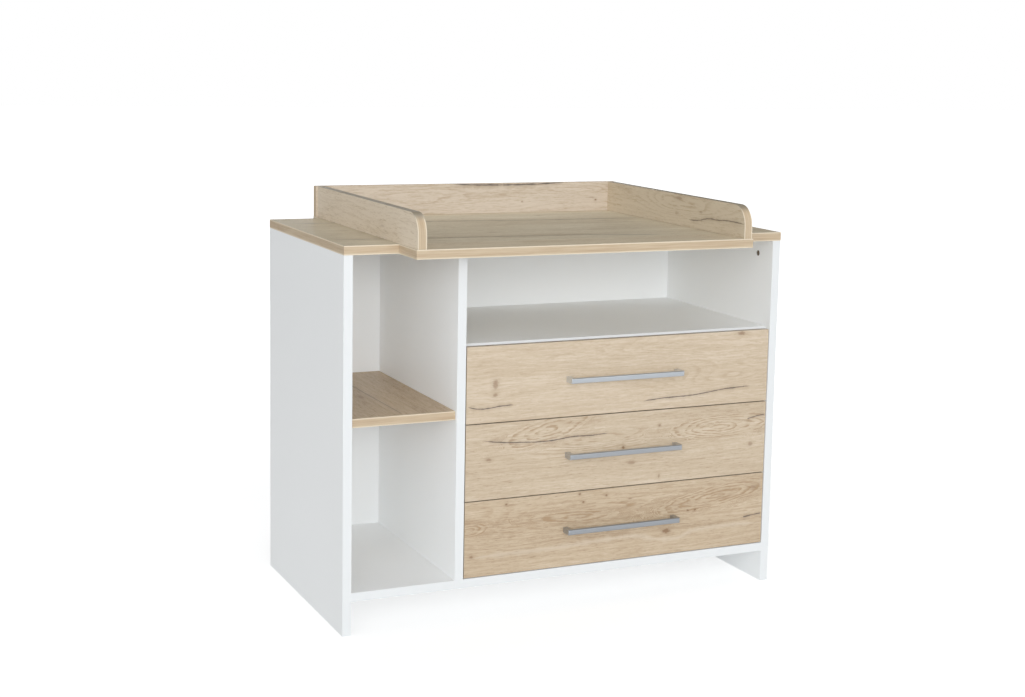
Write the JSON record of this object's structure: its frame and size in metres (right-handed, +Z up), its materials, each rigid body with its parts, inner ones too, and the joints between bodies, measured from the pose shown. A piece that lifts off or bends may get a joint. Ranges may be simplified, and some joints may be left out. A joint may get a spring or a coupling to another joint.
{
  "type": "changing table",
  "caption": "Wide changing table with inset drawers, an open niche, an open shelf column and a lift-off walled changer frame on its top board.",
  "frame": {"origin": "on the floor, under the middle of the bounding box", "axes": "+X to the right seen from the front, along the width; +Y from the front to the wall; +Z up"},
  "size_m": [1.18, 0.773, 1.012],
  "materials": {
    "white_melamine": "satin white melamine on chipboard",
    "oak_decor": "synchronous-pore oak decor on chipboard, darker edge bands",
    "white_hardboard": "white lacquered hardboard",
    "beech_dowel": "plain beech",
    "zinc_steel": "bright zinc plated",
    "cam_zinc": "bronze-dark zinc die casting",
    "white_steel": "white epoxy coated sheet steel",
    "satin_aluminium": "satin anodised",
    "roller_nylon": "natural nylon"
  },
  "bodies": {
    "case": {"left_side_panel": "white_melamine", "right_side_panel": "white_melamine", "divider_panel": "white_melamine", "bottom_panel": "white_melamine", "top_board": "oak_decor", "fixed_shelf": "white_melamine", "oak_shelf": "oak_decor", "back_panel_left": "white_hardboard", "back_panel_right": "white_hardboard", "back_panel_screws": "zinc_steel", "cam_locks": "cam_zinc", "cam_bolts": "zinc_steel", "dowels": "beech_dowel", "shelf_pins": "zinc_steel", "wall_brackets": "zinc_steel", "wall_bracket_screws": "zinc_steel", "case_runners": "white_steel", "case_runner_screws": "zinc_steel"},
    "changer": {"changer_left_wall": "oak_decor", "changer_right_wall": "oak_decor", "changer_back_wall": "oak_decor", "changer_front_strip": "oak_decor", "changer_rear_strip": "oak_decor", "changer_screws": "zinc_steel"},
    "bottom_drawer": {"bottom_drawer_front": "oak_decor", "bottom_drawer_left_side": "white_melamine", "bottom_drawer_right_side": "white_melamine", "bottom_drawer_back": "white_melamine", "bottom_drawer_bottom": "white_hardboard", "bottom_drawer_handle": "satin_aluminium", "bottom_drawer_handle_screws": "zinc_steel", "bottom_drawer_cam_fittings": "cam_zinc", "bottom_drawer_screws": "zinc_steel", "bottom_drawer_runners": "white_steel"},
    "bottom_drawer_front_rollers": {"bottom_drawer_front_rollers": "roller_nylon"},
    "bottom_drawer_rear_rollers": {"bottom_drawer_rear_rollers": "roller_nylon"},
    "middle_drawer": {"middle_drawer_front": "oak_decor", "middle_drawer_left_side": "white_melamine", "middle_drawer_right_side": "white_melamine", "middle_drawer_back": "white_melamine", "middle_drawer_bottom": "white_hardboard", "middle_drawer_handle": "satin_aluminium", "middle_drawer_handle_screws": "zinc_steel", "middle_drawer_cam_fittings": "cam_zinc", "middle_drawer_screws": "zinc_steel", "middle_drawer_runners": "white_steel"},
    "middle_drawer_front_rollers": {"middle_drawer_front_rollers": "roller_nylon"},
    "middle_drawer_rear_rollers": {"middle_drawer_rear_rollers": "roller_nylon"},
    "top_drawer": {"top_drawer_front": "oak_decor", "top_drawer_left_side": "white_melamine", "top_drawer_right_side": "white_melamine", "top_drawer_back": "white_melamine", "top_drawer_bottom": "white_hardboard", "top_drawer_handle": "satin_aluminium", "top_drawer_handle_screws": "zinc_steel", "top_drawer_cam_fittings": "cam_zinc", "top_drawer_screws": "zinc_steel", "top_drawer_runners": "white_steel"},
    "top_drawer_front_rollers": {"top_drawer_front_rollers": "roller_nylon"},
    "top_drawer_rear_rollers": {"top_drawer_rear_rollers": "roller_nylon"}
  },
  "joints": [
    {"name": "changer_lift_off", "type": "slide", "parent": "case", "child": "changer", "axis": [0, 0, 1], "range_m": [0, 0.15]},
    {"name": "bottom_drawer_slide", "type": "slide", "parent": "case", "child": "bottom_drawer", "axis": [0, -1, 0], "range_m": [0, 0.38]},
    {"name": "bottom_front_rollers_spin", "type": "hinge", "parent": "case", "child": "bottom_drawer_front_rollers", "pos_m": [0.142, -0.2335, 0.1305], "axis": [1, 0, 0], "range_deg": [0, 2725]},
    {"name": "bottom_rear_rollers_spin", "type": "hinge", "parent": "bottom_drawer", "child": "bottom_drawer_rear_rollers", "pos_m": [0.142, 0.2375, 0.1305], "axis": [1, 0, 0], "range_deg": [0, 2725]},
    {"name": "middle_drawer_slide", "type": "slide", "parent": "case", "child": "middle_drawer", "axis": [0, -1, 0], "range_m": [0, 0.38]},
    {"name": "middle_front_rollers_spin", "type": "hinge", "parent": "case", "child": "middle_drawer_front_rollers", "pos_m": [0.142, -0.2335, 0.3215], "axis": [1, 0, 0], "range_deg": [0, 2725]},
    {"name": "middle_rear_rollers_spin", "type": "hinge", "parent": "middle_drawer", "child": "middle_drawer_rear_rollers", "pos_m": [0.142, 0.2375, 0.3215], "axis": [1, 0, 0], "range_deg": [0, 2725]},
    {"name": "top_drawer_slide", "type": "slide", "parent": "case", "child": "top_drawer", "axis": [0, -1, 0], "range_m": [0, 0.38]},
    {"name": "top_front_rollers_spin", "type": "hinge", "parent": "case", "child": "top_drawer_front_rollers", "pos_m": [0.142, -0.2335, 0.5125], "axis": [1, 0, 0], "range_deg": [0, 2725]},
    {"name": "top_rear_rollers_spin", "type": "hinge", "parent": "top_drawer", "child": "top_drawer_rear_rollers", "pos_m": [0.142, 0.2375, 0.5125], "axis": [1, 0, 0], "range_deg": [0, 2725]}
  ],
  "couplings": [
    {"joint": "bottom_front_rollers_spin", "follows": "bottom_drawer_slide", "rad_per_m": 125},
    {"joint": "bottom_rear_rollers_spin", "follows": "bottom_drawer_slide", "rad_per_m": 125},
    {"joint": "middle_front_rollers_spin", "follows": "middle_drawer_slide", "rad_per_m": 125},
    {"joint": "middle_rear_rollers_spin", "follows": "middle_drawer_slide", "rad_per_m": 125},
    {"joint": "top_front_rollers_spin", "follows": "top_drawer_slide", "rad_per_m": 125},
    {"joint": "top_rear_rollers_spin", "follows": "top_drawer_slide", "rad_per_m": 125}
  ]
}
